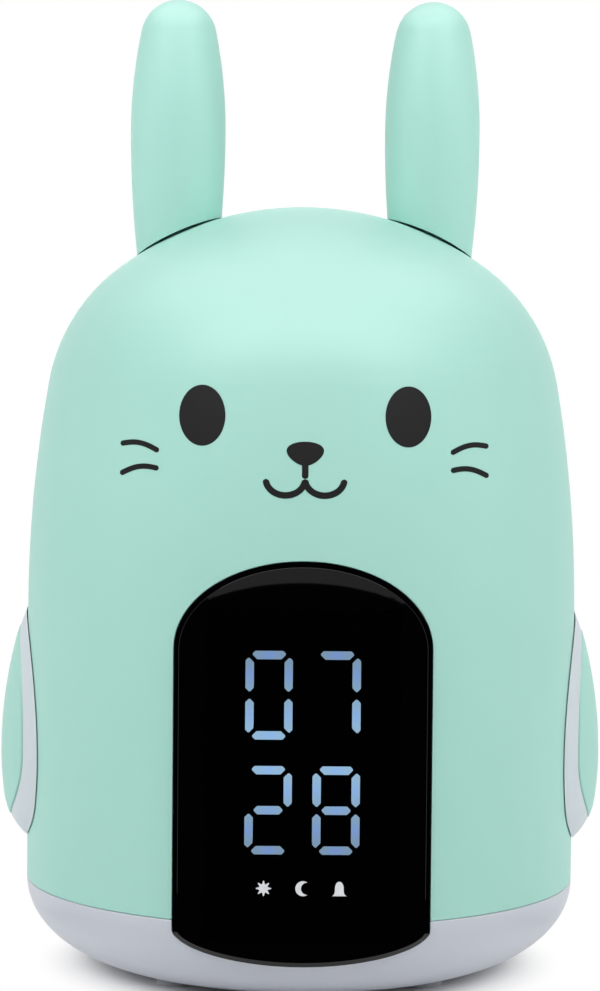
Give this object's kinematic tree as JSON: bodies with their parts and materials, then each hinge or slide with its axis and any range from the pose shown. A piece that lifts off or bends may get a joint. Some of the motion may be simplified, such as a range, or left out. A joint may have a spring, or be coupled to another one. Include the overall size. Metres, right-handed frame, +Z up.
{
  "type": "digital alarm clock",
  "caption": "Rabbit-shaped digital alarm clock: a mint bullet body on a pale rounded base, upright ears, side arms that are push buttons, and an arched black display window.",
  "frame": {"origin": "on the surface the clock stands on, under the middle of the body", "axes": "+Z up along the body's axis, -Y the way the display faces, +X towards the right arm as seen from the front"},
  "size_m": [0.1208, 0.1124, 0.1932],
  "materials": {
    "mint_plastic": "fine matte moulding",
    "pale_plastic": "satin moulding",
    "window_lens": "smoked, polished",
    "black_plastic": "matte",
    "lit_segment": "lit from behind",
    "dark_segment": "unlit",
    "circuit_board": "coated laminate",
    "ribbon": "soft sheath",
    "screw_steel": "zinc plated",
    "bright_metal": "nickel plated",
    "speaker_metal": "black coated",
    "speaker_paper": "pressed paper",
    "foot_rubber": "soft"
  },
  "bodies": {
    "housing": {"arm_switches": "black_plastic", "backup_cell": "bright_metal", "base_bowl": "pale_plastic", "base_screws": "screw_steel", "body_shell": "mint_plastic", "cable_plugs": "black_plastic", "cell_contacts": "bright_metal", "control_chip": "black_plastic", "dark_segments": "dark_segment", "display_board": "circuit_board", "display_reflector": "black_plastic", "display_window": "window_lens", "ear_screws": "screw_steel", "ear_washers": "screw_steel", "indicator_guides": "lit_segment", "key_switches": "black_plastic", "left_arm_bezel": "pale_plastic", "left_ear": "mint_plastic", "left_switch_board": "circuit_board", "lit_segments": "lit_segment", "main_board": "circuit_board", "power_inlet": "bright_metal", "ribbon_cable": "ribbon", "right_arm_bezel": "pale_plastic", "right_ear": "mint_plastic", "right_switch_board": "circuit_board", "rubber_feet": "foot_rubber", "speaker_cone": "speaker_paper", "speaker_frame": "speaker_metal", "speaker_magnet": "speaker_metal", "speaker_screws": "screw_steel", "switch_board_screws": "screw_steel", "window_mask": "black_plastic"},
    "left_arm": {"left_arm_button": "mint_plastic", "left_switch_plunger": "black_plastic"},
    "right_arm": {"right_arm_button": "mint_plastic", "right_switch_plunger": "black_plastic"},
    "mode_control": {"mode_key": "pale_plastic", "mode_plunger": "black_plastic"},
    "alarm_control": {"alarm_key": "pale_plastic", "alarm_plunger": "black_plastic"},
    "up_control": {"up_key": "pale_plastic", "up_plunger": "black_plastic"},
    "down_control": {"down_key": "pale_plastic", "down_plunger": "black_plastic"},
    "battery_cover": {"battery_door": "pale_plastic", "door_screw": "screw_steel"}
  },
  "joints": [
    {"name": "left_arm_press", "type": "slide", "parent": "housing", "child": "left_arm", "axis": [1, 0, 0], "range_m": [0, 0.0012], "stiffness_N_per_m": 2500},
    {"name": "right_arm_press", "type": "slide", "parent": "housing", "child": "right_arm", "axis": [-1, 0, 0], "range_m": [0, 0.0012], "stiffness_N_per_m": 2500},
    {"name": "mode_press", "type": "slide", "parent": "housing", "child": "mode_control", "axis": [0, -1, 0], "range_m": [0, 0.0008], "stiffness_N_per_m": 2000},
    {"name": "alarm_press", "type": "slide", "parent": "housing", "child": "alarm_control", "axis": [0, -1, 0], "range_m": [0, 0.0008], "stiffness_N_per_m": 2000},
    {"name": "up_press", "type": "slide", "parent": "housing", "child": "up_control", "axis": [0, -1, 0], "range_m": [0, 0.0008], "stiffness_N_per_m": 2000},
    {"name": "down_press", "type": "slide", "parent": "housing", "child": "down_control", "axis": [0, -1, 0], "range_m": [0, 0.0008], "stiffness_N_per_m": 2000},
    {"name": "battery_door_removal", "type": "slide", "parent": "housing", "child": "battery_cover", "axis": [0, 0, -1], "range_m": [0, 0.012]}
  ]
}
